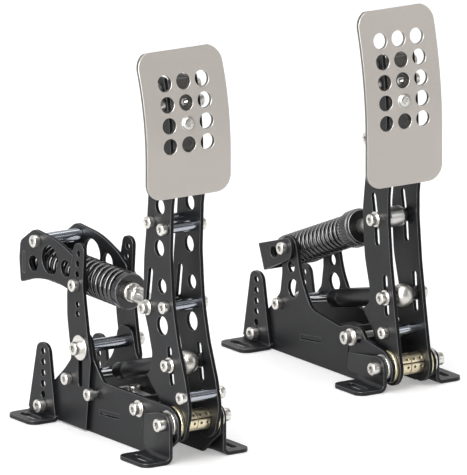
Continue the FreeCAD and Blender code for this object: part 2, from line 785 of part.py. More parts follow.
    build_brake_arm(unit, pivot, offset)
    build_brake_spring(unit, offset)


def build_brake_arm(unit, pivot, offset):
    pad = Pad(brake_pad_width, brake_pad_bottom, brake_pad_top, brake_pad_straight, brake_pad_curve_r,
              brake_pad_front_y, brake_pad_rows, brake_pad_screw_row, brake_pad_top_row)
    top_y, top_z = brake_arm_tubes[-1]
    corners = [
        (-14.5, brake_pivot_z - 2, 3), (-18.3, 40, 25), (-13.4, 60, 40), (-2.8, 88, 60), (4.6, 117, 150),
        (7.6, 155, 60), (6, 190, 20), (4, 200, 0), (4, top_z + 9, 0), (top_y + 9, top_z + 9, 9),
        (top_y + 9.2, top_z - 10, 20), (38, 178, 60), (42.4, 145, 60), (43.6, 108, 9), (37.0, 92, 30),
        (31.6, 75, 8), (33.6, 62, 6), (38.6, 57, 1.5), (23.5, 43.5, 12), (14.4, brake_pivot_z + 2, 3),
    ]
    slots = [((33.6, 136.0), brake_spring_pin), ((8.7, 81.5), (5.1, 58.5))]
    side = arm_plate(corners, brake_pivot_z, pad, brake_arm_tubes, brake_clamp_bolt, brake_arm_holes, slots)
    keep(unit, "left_arm_plate", mirrored(side), offset)
    keep(unit, "right_arm_plate", side, offset)
    keep(unit, "arm_tubes", arm_tubes(brake_arm_tubes), offset)
    keep(unit, "arm_bolts", arm_bolts(brake_arm_tubes + [brake_clamp_bolt]), offset)
    bracket_bolts = [brake_arm_tubes[-1], brake_clamp_bolt]
    bracket = pad.bracket(brake_bracket_low, brake_bracket_high, brake_bracket_depth, bracket_bolts)
    keep(unit, "pad_bracket", bracket, offset)
    keep(unit, "pad", pad.pad(), offset)
    keep(unit, "pad_screw", pad.screw(), offset)
    pins = linkage_pin(brake_spring_pin, eye_half + gap)
    pins += linkage_pin(brake_damper_pin, damper_eye_half + gap)
    keep(unit, "linkage_pins", pins, offset)


def build_brake_spring(unit, offset):
    line = Axis(brake_spring_pin, brake_mast_pivot)
    cup_at = line.at_y(brake_cup_y)
    web_at = line.at_y(brake_web_y)
    rod_end = web_at + sheet + 14
    rod = line.cylinder(brake_rod_r, eye_r - 2, rod_end)
    rod = rod.fuse(eye(brake_spring_pin, eye_r, eye_half, m5_r + fit)).removeSplitter()
    rod = rod.cut(rod_x(brake_spring_pin, m5_r + fit, -20, 20))
    keep(unit, "spring_rod", rod, offset)
    nut = line.cylinder(7.4, cup_at - 11, cup_at - 4)
    nut = nut.fuse(line.cylinder(6.0, cup_at - 4, cup_at)).cut(line.cylinder(brake_rod_r + fit, 0, 200))
    stop = line.ring(6.5, brake_rod_r + fit, web_at + sheet + 1, web_at + sheet + 9)
    keep(unit, "spring_nuts", [nut, stop], offset)
    cup = line.ring(brake_cup_r, brake_rod_r + fit, cup_at, cup_at + 6)
    keep(unit, "spring_cup", cup, offset)
    low = cup_at + 6
    spring_length = web_at - low - 2 * gap
    spring = coil(brake_coil_r - brake_wire_r, brake_wire_r, brake_turns, spring_length, "brake spring")
    spring.translate(V(0, 0, low + gap))
    keep(unit, "spring", line.stand(spring), offset)

    mast_y, mast_z = brake_mast_pivot
    tip = 7.5
    cage = plate([
        (mast_y - tip, mast_z - 7, 7), (mast_y + 12, mast_z - tip, 20), (155, 104.6, 60), (180, 101.6, 80),
        (201, 94.4, 2), (203, 112, 20), (201.5, 126, 8), (183, 138.3, 12), (150, 136, 120), (127, 127.5, 20),
        (mast_y - tip, mast_z + 10, 7),
    ], frame_half_gap, side_out)
    cage = drilled(cage, [brake_mast_pivot, brake_cage_tube], m5_r + fit)
    for y, z, radius in [(183.8, 112.0, 6.0), (161.2, 119.2, 11.0), (139.8, 117.1, 6.5)]:
        cage = drilled(cage, [(y, z)], radius)
    inner = frame_half_gap - fit
    web = Part.makeBox(2 * inner, sheet, brake_web_below + brake_web_above, V(-inner, 0, -brake_web_below))
    tabs = Part.makeBox(2 * side_out, sheet, 16, V(-side_out, 0, -7))
    web = web.fuse(tabs).removeSplitter().cut(rod_y(0, 0, brake_rod_r + 1.0, -1, sheet + 1))
    web = line.lay(web, web_at)
    opening = Part.makeBox(2 * beyond, sheet + 2 * fit, 16 + 2 * fit, V(-beyond, -fit, -7 - fit))
    cage = cage.cut(line.lay(opening, web_at))
    keep(unit, "left_cage_plate", mirrored(cage), offset)
    keep(unit, "right_cage_plate", cage, offset)
    keep(unit, "cage_web", web, offset)
    tube = [ring_x(brake_cage_tube, brake_mast_tube_r, m5_r + fit, -frame_half_gap, frame_half_gap)]
    tube += screw_pair(brake_cage_tube, side_out, m5_screw, m5_r, m5_head_r, m5_head_h)
    keep(unit, "cage_tube", tube, offset)


def build_throttle(offset):
    unit = "throttle"
    pivot = (0, throttle_pivot_z)
    foot_bolt = (throttle_foot_y, rear_foot_bolt_z)
    mast_y, mast_z = throttle_mast_pivot
    tab_y = (84.0, 112.0)
    shelf, shelf_z = cross_plate(tab_y, 19.5, -5.9, 47.0, 38.0, 122.0)
    keep(unit, "cross_plate", shelf, offset)
    side = side_plate([
        (13, 0, 1), (176, 0, 6), (175, 16, 6), (154, 31.5, 4), (139.4, 46, 8), (136.8, 62, 12),
        (mast_y + 9, mast_z + 9, 9), (mast_y - 9, mast_z + 9, 9), (112, 63, 60), (98, 41.6, 14),
        (59, 36.4, 8), (46.4, 40.4, 8), (31, 41, 5), (24, 33.4, 5), (0, throttle_pivot_z + lug_r, 12),
        (-lug_r, throttle_pivot_z + 4, 9), (-lug_r + 2, throttle_pivot_z - 9, 6),
    ], [throttle_side_bolt, throttle_mast_pivot], [foot_bolt],
        [((33.5, throttle_slot_bolt[1]), throttle_slot_bolt, 6.8)],
        [(pivot, axle_r + fit), ((124.7, 69.0), 4.5), ((121.7, 52.6), 7.2)])
    side = side.cut(tab_cut(tab_y, shelf_z))
    keep(unit, "left_side_plate", mirrored(side), offset)
    keep(unit, "right_side_plate", side, offset)
    ear = [
        (-7.8, 0, 0), (48, 0, 0), (48, 19.2, 3), (2, throttle_pivot_z + 8.8, 10),
        (-7.8, throttle_pivot_z + 6, 7),
    ]
    keep(unit, "front_feet", both(front_foot(throttle_pivot_z, 48.0, ear, (-7.8, 30.0), 11.0)), offset)
    keep(unit, "rear_feet", both(rear_foot(side_out + sheet, throttle_foot_y, 19.2, 16.5)), offset)

    washers = pivot_set(unit, throttle_pivot_z, offset)
    grip = side_out + 2 * washer_t
    for inner in (side_out, side_out + washer_t):
        washers += both(ring_x(throttle_slot_bolt, washer_r, m5_r + fit, inner, inner + washer_t))
    bracket_out = side_out + 0.3 + sheet
    bolts = through_bolt(throttle_slot_bolt, grip, m5_r, m6_head_r, m6_head_h)
    bolts += through_bolt(throttle_side_bolt, side_out, m5_r, m5_head_r, m5_head_h)
    bolts += screw_pair(throttle_mast_pivot, bracket_out, bracket_out - 15.0, m5_r, m5_head_r, m5_head_h)
    bolts += screw_pair(foot_bolt, side_out + sheet, m6_screw, m6_r, m6_head_r, m6_head_h)
    keep(unit, "frame_bolts", bolts, offset)
    washers += damper(unit, throttle_damper_pin, throttle_side_bolt, offset)
    keep(unit, "washers", washers, offset)
    sensor_low = shelf_z(sensor_y + sensor_length) + sheet - 1
    corner = V(-sensor_width / 2, sensor_y, sensor_low)
    sensor = Part.makeBox(sensor_width, sensor_length, sensor_height + 1, corner).cut(shelf)
    keep(unit, "position_sensor", sensor, offset)

    build_throttle_arm(unit, offset)
    build_throttle_spring(unit, bracket_out, offset)


def build_throttle_arm(unit, offset):
    pad = Pad(throttle_pad_width, throttle_pad_bottom, throttle_pad_top, throttle_pad_straight,
              throttle_pad_curve_r, throttle_pad_front_y, throttle_pad_rows, throttle_pad_screw_row,
              throttle_pad_top_row)
    top_y, top_z = throttle_arm_tubes[-1]
    corners = [
        (-14.3, throttle_pivot_z, 3), (-11.3, 32, 20), (-6, 61, 80), (-0.3, 95, 80), (3.2, 128, 60),
        (3.2, 146, 20), (2, 156, 0), (2, top_z + 9, 0), (top_y + 9, top_z + 9, 9),
        (top_y + 9.2, top_z - 10, 20), (32, 165, 60), (36.8, 130, 60), (34, 95, 60), (27, 71, 12),
        (28, 60, 6), (36.4, 54.6, 1.5), (22.4, 40, 14), (14.4, throttle_pivot_z + 2, 3),
    ]
    slots = [((22.2, 143.2), throttle_spring_pin), (throttle_spring_pin, (17.0, 109.2))]
    slots.append(((6.6, 83.2), (4.3, 58)))
    side = arm_plate(corners, throttle_pivot_z, pad, throttle_arm_tubes, throttle_clamp_bolt, [], slots)
    keep(unit, "left_arm_plate", mirrored(side), offset)
    keep(unit, "right_arm_plate", side, offset)
    keep(unit, "arm_tubes", arm_tubes(throttle_arm_tubes), offset)
    keep(unit, "arm_bolts", arm_bolts(throttle_arm_tubes + [throttle_clamp_bolt]), offset)
    bracket_bolts = [throttle_arm_tubes[-1], throttle_clamp_bolt]
    bracket = pad.bracket(throttle_bracket_low, throttle_bracket_high, throttle_bracket_depth, bracket_bolts)
    keep(unit, "pad_bracket", bracket, offset)
    keep(unit, "pad", pad.pad(), offset)
    keep(unit, "pad_screw", pad.screw(), offset)
    pins = linkage_pin(throttle_spring_pin, throttle_eye_half + gap)
    pins += linkage_pin(throttle_damper_pin, damper_eye_half + gap)
    keep(unit, "linkage_pins", pins, offset)


def build_throttle_spring(unit, bracket_out, offset):
    line = Axis(throttle_spring_pin, throttle_mast_pivot)
    collar_at = line.at_y(throttle_collar_y)
    ring_at = line.at_y(throttle_ring_y)
    web_at = line.at_y(throttle_web_y)
    end = ring_x(throttle_spring_pin, throttle_eye_r, m5_r + fit, -throttle_eye_half, throttle_eye_half)
    shank = line.cylinder(throttle_shank_r, throttle_eye_r - 2, collar_at)
    shank = shank.cut(rod_x(throttle_spring_pin, throttle_eye_r - 1, -20, 20))
    keep(unit, "rod_end", end.fuse(shank).removeSplitter(), offset)
    rod = line.cylinder(throttle_rod_r, collar_at, web_at + sheet + 14)
    keep(unit, "spring_rod", rod, offset)
    bore = throttle_rod_r + fit
    collar = line.ring(throttle_collar_r, bore, collar_at, ring_at - 4)
    ring = line.ring(throttle_ring_r, bore, ring_at - 4, ring_at + 6)
    stop = line.ring(6.0, bore, web_at + sheet + 1, web_at + sheet + 8)
    keep(unit, "spring_adjuster", [collar, ring, stop], offset)
    low = ring_at + 6
    spring_length = web_at - low - 2 * gap
    mean_r = throttle_coil_r - throttle_wire_r
    spring = coil(mean_r, throttle_wire_r, throttle_turns, spring_length, "throttle spring")
    spring.translate(V(0, 0, low + gap))
    keep(unit, "spring", line.stand(spring), offset)

    back = web_at + sheet
    side = plate([
        (119, 93, 7), (120, 76.5, 7), line.corner(back, -11.2, 3.5), line.corner(back, 10.0, 3.5),
    ], -bracket_out - 1, bracket_out + 1)
    body = u_channel(line, back, bracket_out, 1.0, 40).common(side)
    body = drilled(body, [throttle_mast_pivot], m5_r + fit)
    body = drilled(body, [(143.3, 76.8)], 4.5)
    body = body.cut(line.cylinder(throttle_rod_r + 1.2, web_at - 2, back + 2))
    keep(unit, "spring_bracket", body, offset)


build_brake(V(0, 0, 0))
build_throttle(V(unit_spacing_x, unit_spacing_y, 0))

whole = Part.makeCompound([solid for solids in parts.values() for solid in solids])
box = whole.BoundBox
to_origin = V(-(box.XMin + box.XMax) / 2, -(box.YMin + box.YMax) / 2, -box.ZMin)
os.makedirs("parts", exist_ok=True)
for name, solids in parts.items():
    shape = solids[0] if len(solids) == 1 else Part.makeCompound(solids)
    shape.translate(to_origin)
    shape.exportStep("parts/" + name + ".step")
print(len(parts), "nodes; moved by", to_origin, "size", box.XLength, box.YLength, box.ZLength)
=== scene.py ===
import json
import math

import bmesh
import bpy
import numpy as np
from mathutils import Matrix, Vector


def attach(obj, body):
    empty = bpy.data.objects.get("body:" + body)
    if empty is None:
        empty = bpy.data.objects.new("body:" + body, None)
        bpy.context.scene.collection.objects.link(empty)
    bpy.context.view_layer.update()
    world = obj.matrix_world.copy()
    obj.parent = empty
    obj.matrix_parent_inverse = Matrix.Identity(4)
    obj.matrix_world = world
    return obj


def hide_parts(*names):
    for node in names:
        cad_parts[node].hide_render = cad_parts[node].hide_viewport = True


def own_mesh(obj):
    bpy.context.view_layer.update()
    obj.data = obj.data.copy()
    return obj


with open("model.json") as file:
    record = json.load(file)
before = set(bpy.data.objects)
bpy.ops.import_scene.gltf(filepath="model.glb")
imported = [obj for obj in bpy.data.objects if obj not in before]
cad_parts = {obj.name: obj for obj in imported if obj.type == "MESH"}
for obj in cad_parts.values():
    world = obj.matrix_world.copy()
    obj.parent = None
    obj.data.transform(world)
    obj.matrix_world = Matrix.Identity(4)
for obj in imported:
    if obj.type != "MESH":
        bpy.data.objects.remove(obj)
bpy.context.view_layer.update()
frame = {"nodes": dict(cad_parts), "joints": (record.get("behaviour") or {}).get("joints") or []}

MM = 0.001
UNITS = ("brake", "throttle")
joints = {joint["name"]: joint for joint in frame["joints"]}

# Sizes that the frame's meshes don't give, in millimetres
thread_pitch = 0.9
rod_pitch = 1.25
thread_depth = 0.38
threaded_tip = 6.0
pad_screw_r = 3.0
socket_depth = 1.5
fit = 0.1

# Eyes on the pins: radius of the ball, half its width between the flats, bore
spring_ball = (8.0, 5.0, 2.55)
damper_ball = (8.75, 6.5, 2.55)
rear_ball = (6.8, 4.5, 3.4)

# The throttle's ring is screwed forward on its sleeve, this far in front of the CAD solid
ring_ahead = 12.0
ring_length = 14.0
ring_ribs = 40
rib_depth = 1.0
sleeve_r = 8.2

# Springs: turns, wire radius and travel in millimetres
coils = {"brake": (17, 1.7, 14.9), "throttle": (17, 1.4, 30.7)}

# How the CAD solids are told apart, in millimetres
head_step = 0.4
lowest_head, tallest_head = 0.5, 9.0
mesh_slack = 0.1
thickest_washer = 3.0
thickest_single_washer = 2.2
shortest_pin = 25.0
thickest_pin_washer = 2.0

# Edges of the CAD nodes, in millimetres and degrees
weld_distance = 0.002
flat_angle = 0.5
sharp_angle = 38
edge_width, fine_edge_width = 0.35, 0.3
edge_segments = 2
flat_face_weight = 60

# A face of a plate or pad is a cut wall, which takes painted shade, where less than this share of its
# normal goes across the sheet
plate_wall_share, pad_wall_share = 0.3, 0.5

# A Mix node has several sockets of one name: these are its colours and its numbers
mix_colours, mix_colour_out = (6, 7), 2
mix_numbers, mix_number_out = (2, 3), 0


class Shader:
    """A procedural surface: a base colour, grain in colour, roughness and relief."""

    def __init__(self, name, colour, metallic, roughness):
        self.material = bpy.data.materials.new(name)
        self.material.use_nodes = True
        self.tree = self.material.node_tree
        self.tree.nodes.clear()
        self.out = self.add("ShaderNodeOutputMaterial")
        self.bsdf = self.add("ShaderNodeBsdfPrincipled")
        self.link(self.bsdf, "BSDF", self.out, "Surface")
        self.colour = colour
        self.roughness = roughness
        self.set("Base Color", (*colour, 1))
        self.set("Metallic", metallic)
        self.set("Roughness", roughness)
        self.relief = None

    def set(self, socket, value):
        self.bsdf.inputs[socket].default_value = value

    def add(self, kind):
        return self.tree.nodes.new(kind)

    def link(self, source, output, target, socket):
        """Links two nodes; a socket goes by its name or its number."""
        self.tree.links.new(source.outputs[output], target.inputs[socket])

    def noise(self, scale, detail, stretch=(1, 1, 1)):
        """Noise over the object's own coordinates, in cells per metre."""
        place = self.add("ShaderNodeTexCoord")
        mapping = self.add("ShaderNodeMapping")
        mapping.inputs["Scale"].default_value = stretch
        self.link(place, "Object", mapping, "Vector")
        noise = self.add("ShaderNodeTexNoise")
        noise.inputs["Scale"].default_value = scale
        noise.inputs["Detail"].default_value = detail
        self.link(mapping, "Vector", noise, "Vector")
        return noise

    def spread(self, noise, low, high):
        """Spreads a noise's usual values over a range."""
        ramp = self.add("ShaderNodeMapRange")
        for name, value in (("From Min", 0.3), ("From Max", 0.7), ("To Min", low), ("To Max", high)):
            ramp.inputs[name].default_value = value
        self.link(noise, "Fac", ramp, "Value")
        return ramp

    def roughen(self, noise, less, more):
        """Varies the roughness about its own value."""
        ramp = self.spread(noise, self.roughness - less, self.roughness + more)
        self.link(ramp, "Result", self.bsdf, "Roughness")

    def tint(self, noise, dark, light):
        """Varies the base colour between two multiples of it."""
        mix = self.add("ShaderNodeMix")
        mix.data_type = "RGBA"
        for socket, share in zip(mix_colours, (dark, light)):
            mix.inputs[socket].default_value = (*[min(1.0, c * share) for c in self.colour], 1)
        self.link(self.spread(noise, 0, 1), "Result", mix, "Factor")
        self.link(mix, mix_colour_out, self.bsdf, "Base Color")

    def bump(self, noise, strength, distance=0.0001):
        """Adds relief, on top of any that is there, of a height in metres."""
        bump = self.add("ShaderNodeBump")
        bump.inputs["Strength"].default_value = strength
        bump.inputs["Distance"].default_value = distance
        self.link(noise, "Fac", bump, "Height")
        if self.relief:
            self.link(self.relief, "Normal", bump, "Normal")
        self.relief = bump
        self.link(bump, "Normal", self.bsdf, "Normal")


def powder_coat(name, colour, roughness, shine, coat=0.0):
    """Satin powder coat: fine orange peel, slightly uneven sheen."""
    look = Shader(name, colour, 0.0, roughness)
    look.set("Specular IOR Level", shine)
    look.set("Coat Weight", coat)
    look.set("Coat Roughness", 0.3)
    patches, specks, peel = look.noise(35, 4), look.noise(600, 2), look.noise(1400, 2)
    look.roughen(patches, 0.05, 0.06)
    look.tint(specks, 0.82, 1.18)
    look.bump(peel, 0.08, 0.0002)
    return look.material


def plated(name, colour, roughness, marks=0.012):
    """Bright plated or turned metal with fine tool marks."""
    look = Shader(name, colour, 1.0, roughness)
    patches, clouds, scratches = look.noise(120, 3), look.noise(60, 3), look.noise(700, 2)
    look.roughen(patches, 0.02, 0.04)
    look.tint(clouds, 0.95, 1.03)
    look.bump(scratches, marks)
    return look.material


def brushed(name, colour, roughness):
    """Alloy sheet brushed along its width, lightly blasted."""
    look = Shader(name, colour, 0.45, roughness)
    strokes = look.noise(160, 5, (0.06, 1, 9))
    scratches = look.noise(420, 4, (0.05, 1, 8))
    pits = look.noise(3200, 2)
    look.roughen(strokes, 0.04, 0.05)
    look.tint(strokes, 0.985, 1.01)
    look.bump(scratches, 0.02)
    look.bump(pits, 0.02)
    return look.material


def gloss(name, colour, roughness, shine, coat, coat_ior=1.5):
    """Gloss lacquer over black, with a faintly uneven sheen."""
    look = Shader(name, colour, 0.0, roughness)
    look.set("Specular IOR Level", shine)
    look.set("Coat Weight", coat)
    look.set("Coat Roughness", 0.06)
    look.set("Coat IOR", coat_ior)
    patches, clouds = look.noise(90, 2), look.noise(60, 2)
    look.roughen(patches, 0.006, 0.008)
    look.tint(clouds, 0.9, 1.1)
    return look.material


looks = {
    "black_steel": powder_coat("black_powder_coat", (0.0095, 0.0100, 0.0115), 0.40, 0.30, 0.06),
    # painted highlight: a lighter, glossier black that the softened edges of the black parts take
    "black_painted_highlight": powder_coat("powder_coat_painted_edge_highlight", (0.062, 0.063, 0.067), 0.32, 0.6, 0.3),
    # painted shade: a darker, duller black for the cut walls of the plates
    "black_painted_shade": powder_coat("powder_coat_painted_shade_in_cuts", (0.0085, 0.0085, 0.0095), 0.5, 0.12),
    "bracket_grey": powder_coat("warm_grey_coat", (0.075, 0.069, 0.062), 0.45, 0.4),
    "bright_steel": plated("bright_plated_steel", (0.82, 0.80, 0.76), 0.31),
    # painted shade: a darker steel for the inside of sockets and recesses
    "socket_steel": plated("steel_painted_shade_in_sockets", (0.42, 0.41, 0.385), 0.34),
    "tube_steel": plated("tube_steel", (0.47, 0.50, 0.55), 0.17, 0.003),
    "turned_steel": plated("turned_steel", (0.76, 0.75, 0.725), 0.32, 0.004),
    "ball_steel": plated("nickel_ball", (0.75, 0.73, 0.68), 0.36),
    "brushed_alloy": brushed("brushed_pad_alloy", (0.575, 0.533, 0.495), 0.46),
    # painted highlight: a lighter, shinier copy of the pad alloy for its rims
    "alloy_painted_highlight": plated("pad_edge_painted_highlight", (0.72, 0.70, 0.67), 0.30),
    # painted shade: a darker copy of the pad alloy for its cut walls and the walls of its holes
    "alloy_painted_shade": plated("pad_side_painted_shade", (0.26, 0.245, 0.23), 0.42),
    "bronze": plated("pale_bronze", (0.90, 0.80, 0.57), 0.30),
    # painted shade: a dark bronze for the seam and dimples of the bushes
    "bronze_painted_shade": plated("bronze_painted_shade_in_dimples", (0.14, 0.11, 0.07), 0.45),
    "brass": plated("brass_washer", (0.93, 0.84, 0.58), 0.38),
    "cell_alloy": plated("cell_alloy", (0.42, 0.42, 0.44), 0.36),
    "black_plastic": powder_coat("black_plastic", (0.020, 0.020, 0.021), 0.5, 0.4),
    "black_alloy": gloss("black_anodised", (0.010, 0.010, 0.011), 0.24, 0.5, 0.25),
    "black_face": gloss("black_anodised_face", (0.006, 0.006, 0.006), 0.35, 0.12, 0.0),
    # painted highlight: a lighter, glossy black for thin rims, rib walls and steps
    "rib_edge": gloss("painted_highlight_gloss_black", (0.10, 0.10, 0.108), 0.30, 0.8, 0.4),
    "spring_black": gloss("gloss_black_wire", (0.004, 0.004, 0.005), 0.12, 0.4, 1.0, 1.7),
    "damper_black": gloss("gloss_black_tube", (0.006, 0.006, 0.007), 0.30, 0.28, 0.05),
    "chrome": plated("chromed_rod", (0.82, 0.83, 0.85), 0.09, 0.004),
}


def dress(node, look, edge, width=edge_width):
    """Gives a CAD node its finish and softens its edges, which take the edge finish; on the black parts and
    the pads that is a lighter copy, a painted edge highlight.
    """
    piece = frame["nodes"][node]
    piece.data.materials.clear()
    for name in (look, edge):
        piece.data.materials.append(looks[name])
    for face in piece.data.polygons:
        face.material_index = 0
        face.use_smooth = True
    weld = piece.modifiers.new("joined", "WELD")
    weld.merge_threshold = weld_distance * MM
    flat = piece.modifiers.new("planar", "DECIMATE")
    flat.decimate_type = "DISSOLVE"
    flat.delimit = {"MATERIAL"}
    flat.angle_limit = math.radians(flat_angle)
    bevel = piece.modifiers.new("edges", "BEVEL")
    bevel.width = width * MM
    bevel.segments = edge_segments
    bevel.limit_method = "ANGLE"
    bevel.angle_limit = math.radians(sharp_angle)
    # the bevelled edge faces take the second finish, a painted highlight on the black parts and pads
    bevel.material = 1
    bevel.use_clamp_overlap = False
    bevel.loop_slide = False
    normals = piece.modifiers.new("normals", "WEIGHTED_NORMAL")
    normals.weight = flat_face_weight
    normals.keep_sharp = True
    return piece


def finish_faces(piece, look, chosen):
    """Gives another finish to the faces whose normal passes a test."""
    piece.data.materials.append(looks[look])
    index = len(piece.data.materials) - 1
    for face in piece.data.polygons:
        if chosen(face.normal):
            face.material_index = index


def dress_plate(node):
    """Flat plate across X, with painted highlights on its edges and painted shade on its cut walls, which
    are also duller than its faces.
    """
    piece = dress(node, "black_steel", "black_painted_highlight")
    finish_faces(piece, "black_painted_shade", lambda normal: abs(normal.x) < plate_wall_share)


def dress_pad(node):
    """Brushed, curved pad with painted highlights on its bright rims and painted shade on its dark cut
    walls.
    """
    piece = dress(node, "brushed_alloy", "alloy_painted_highlight", fine_edge_width)
    finish_faces(piece, "alloy_painted_shade", lambda normal: abs(normal.y) < pad_wall_share)


def hexagon(flats):
    """Radius of a hexagon as a function of the angle."""
    def radius(angle):
        turn = (angle + math.pi / 6) % (math.pi / 3) - math.pi / 6
        return flats / 2 / math.cos(turn)
    return radius


def star(outer, inner):
    """Radius of a six-lobed recess."""
    def radius(angle):
        return (outer + inner) / 2 + (outer - inner) / 2 * math.cos(6 * angle)
    return radius


def ribbed(outer, depth, count):
    """Radius of a rim with broad bars and narrow grooves."""
    breadth, steepness = 1.0, 2.5

    def radius(angle):
        wave = max(-1.0, min(1.0, breadth + steepness * math.cos(count * angle)))
        return outer - depth * (0.5 - 0.5 * wave)
    return radius


def within(first, second):
    """The smaller of two radii, for chamfered corners."""
    def radius(angle):
        return min(value_at(first, angle), value_at(second, angle))
    return radius


def value_at(radius, angle):
    return radius(angle) if callable(radius) else radius


def mirrored(profile, length):
    """A profile and its mirror image at the other end of a length."""
    return profile + [(length - distance, radius) for distance, radius in reversed(profile)]


class Work:
    """One mesh put together from turned and swept forms, in metres, in the row frame."""

    def __init__(self, sides=48):
        self.points = []
        self.faces = []
        self.finishes = []
        self.looks = []
        self.sides = sides

    def finish_index(self, look):
        if look not in self.looks:
            self.looks.append(look)
        return self.looks.index(look)

    def ring(self, centre, side, top, radius, sides):
        """Adds a ring of points, or one point where the radius is 0, and returns their numbers."""
        if radius == 0:
            self.points.append(centre)
            return [len(self.points) - 1] * sides
        row = []
        for k in range(sides):
            angle = 2 * math.pi * k / sides
            reach = value_at(radius, angle) * MM
            row.append(len(self.points))
            self.points.append(centre + (side * math.cos(angle) + top * math.sin(angle)) * reach)
        return row

    def skin(self, rows, finishes):
        """Adds the faces between rows of points, leaving out corners that fall together."""
        for low, high, index in zip(rows, rows[1:], finishes):
            for k in range(len(low)):
                following = (k + 1) % len(low)
                corners = list(dict.fromkeys([low[k], low[following], high[following], high[k]]))
                if len(corners) > 2:
                    self.faces.append(corners)
                    self.finishes.append(index)

    def turned(self, profile, start, way, look, closed=False, up=(0, 0, 1), sides=None):
        """Adds rings of (distance, radius) in millimetres along a line from start.

        A radius may depend on the angle. A ring's third value names the finish from there on.
        """
        way = Vector(way).normalized()
        if abs(way.dot(Vector(up))) > 0.9:
            up = (0, 1, 0)
        side = way.cross(Vector(up)).normalized()
        top = side.cross(way)
        start = Vector(start)
        rows = []
        finishes = []
        for distance, radius, *finish in profile:
            if finish:
                look = finish[0]
            finishes.append(self.finish_index(look))
            rows.append(self.ring(start + way * (distance * MM), side, top, radius, sides or self.sides))
        if closed:
            rows.append(rows[0])
        self.skin(rows, finishes)

    def mark(self, first, start, way, inner, outer, look):
        """Gives another finish to the faces, from a number on, whose centre lies between two radii."""
        index = self.finish_index(look)
        way = Vector(way).normalized()
        for i in range(first, len(self.faces)):
            corners = [self.points[p] for p in self.faces[i]]
            centre = sum(corners, Vector()) / len(corners) - Vector(start)
            reach = (centre - way * centre.dot(way)).length / MM
            if inner < reach < outer:
                self.finishes[i] = index

    def swept(self, path, radius, look, sides):
        """Round wire of a radius in millimetres along a list of points, with closed ends."""
        index = self.finish_index(look)
        rows = []
        across = (path[1] - path[0]).cross(Vector((1, 0, 0))).normalized()
        for i, point in enumerate(path):
            before = path[max(0, i - 1)]
            after = path[min(len(path) - 1, i + 1)]
            ahead = (after - before).normalized()
            across = (across - ahead * across.dot(ahead)).normalized()
            rows.append(self.ring(point, across, ahead.cross(across), radius, sides))
        self.skin(rows, [index] * len(rows))
        for row in (rows[0][::-1], rows[-1]):
            self.faces.append(row)
            self.finishes.append(index)

    def make(self, name, body, slot, nodes=(), sharp=24):
        """Adds the mesh to the scene, riding on a body in place of CAD nodes."""
        mesh = bpy.data.meshes.new(name)
        mesh.from_pydata([tuple(p) for p in self.points], [], self.faces)
        for look in self.looks:
            mesh.materials.append(looks[look])
        mesh.polygons.foreach_set("material_index", self.finishes)
        mesh.polygons.foreach_set("use_smooth", [True] * len(self.faces))
        mesh.update()
        mesh.validate()
        outward(mesh)
        mesh.set_sharp_from_angle(angle=math.radians(sharp))
        piece = bpy.data.objects.new(name, mesh)
        bpy.context.scene.collection.objects.link(piece)
        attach(piece, body)
        if nodes:
            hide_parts(*nodes)
        return piece


def outward(mesh):
    """Turns every face of a mesh outwards."""
    work = bmesh.new()
    work.from_mesh(mesh)
    bmesh.ops.recalc_face_normals(work, faces=work.faces)
    work.to_mesh(mesh)
    work.free()


def islands(node):
    """Vertices of a CAD node's separate solids, in millimetres, one array each."""
    mesh = frame["nodes"][node].data
    points = np.array([v.co for v in mesh.vertices]) / MM
    keys, label = np.unique(np.round(points, 3), axis=0, return_inverse=True)
    label = label.ravel()
    parent = list(range(len(keys)))

    def root(i):
        while parent[i] != i:
            parent[i] = parent[parent[i]]
            i = parent[i]
        return i

    for edge in mesh.edges:
        a, b = root(label[edge.vertices[0]]), root(label[edge.vertices[1]])
        if a != b:
            parent[a] = b
    groups = {}
    for i in range(len(keys)):
        groups.setdefault(root(i), []).append(i)
    return [keys[members] for members in groups.values()]


class Solid:
    """Vertices read as rings about an axis: distances along it and radii, in millimetres."""

    def __init__(self, points, start, way):
        self.start = np.array(start, float)
        self.way = np.array(way, float)
        offset = points - self.start
        self.along = offset @ self.way
        self.reach = np.linalg.norm(offset - np.outer(self.along, self.way), axis=1)
        self.low, self.high = self.along.min(), self.along.max()
        self.length = self.high - self.low
        self.outer, self.inner = self.reach.max(), self.reach.min()

    def at(self, distance):
        """Point on the axis, in metres."""
        return Vector(self.start + self.way * distance) * MM

    def radius_between(self, low, high):
        """Largest radius between two distances."""
        return self.reach[(self.along > low) & (self.along < high)].max()

    def heads(self):
        """(face, end) of each head at the ends of a screw, pin or axle."""
        wide = self.along[self.reach > self.outer - head_step]
        found = []
        for end in (self.low, self.high):
            near = wide[abs(wide - end) < tallest_head]
            away = abs(near - end)
            if len(near) and away.min() < mesh_slack and away.max() > lowest_head:
                found.append((near[away.argmax()], end))
        return found


def crosswise(points):
    """A solid about its own axis along X."""
    middle = (points.min(axis=0) + points.max(axis=0)) / 2
    return Solid(points, (0, middle[1], middle[2]), (1, 0, 0))


def upright(points):
    """A solid about its own vertical axis."""
    middle = (points.min(axis=0) + points.max(axis=0)) / 2
    return Solid(points, (middle[0], middle[1], 0), (0, 0, 1))


class Line:
    """A line from one joint's place to another's, with distances in millimetres."""

    def __init__(self, start, end):
        self.start = Vector(start)
        self.way = (Vector(end) - self.start).normalized()

    def solids(self, node):
        """A node's solids about this line, in order."""
        found = [Solid(points, np.array(self.start) / MM, self.way) for points in islands(node)]
        return sorted(found, key=lambda solid: solid.low)


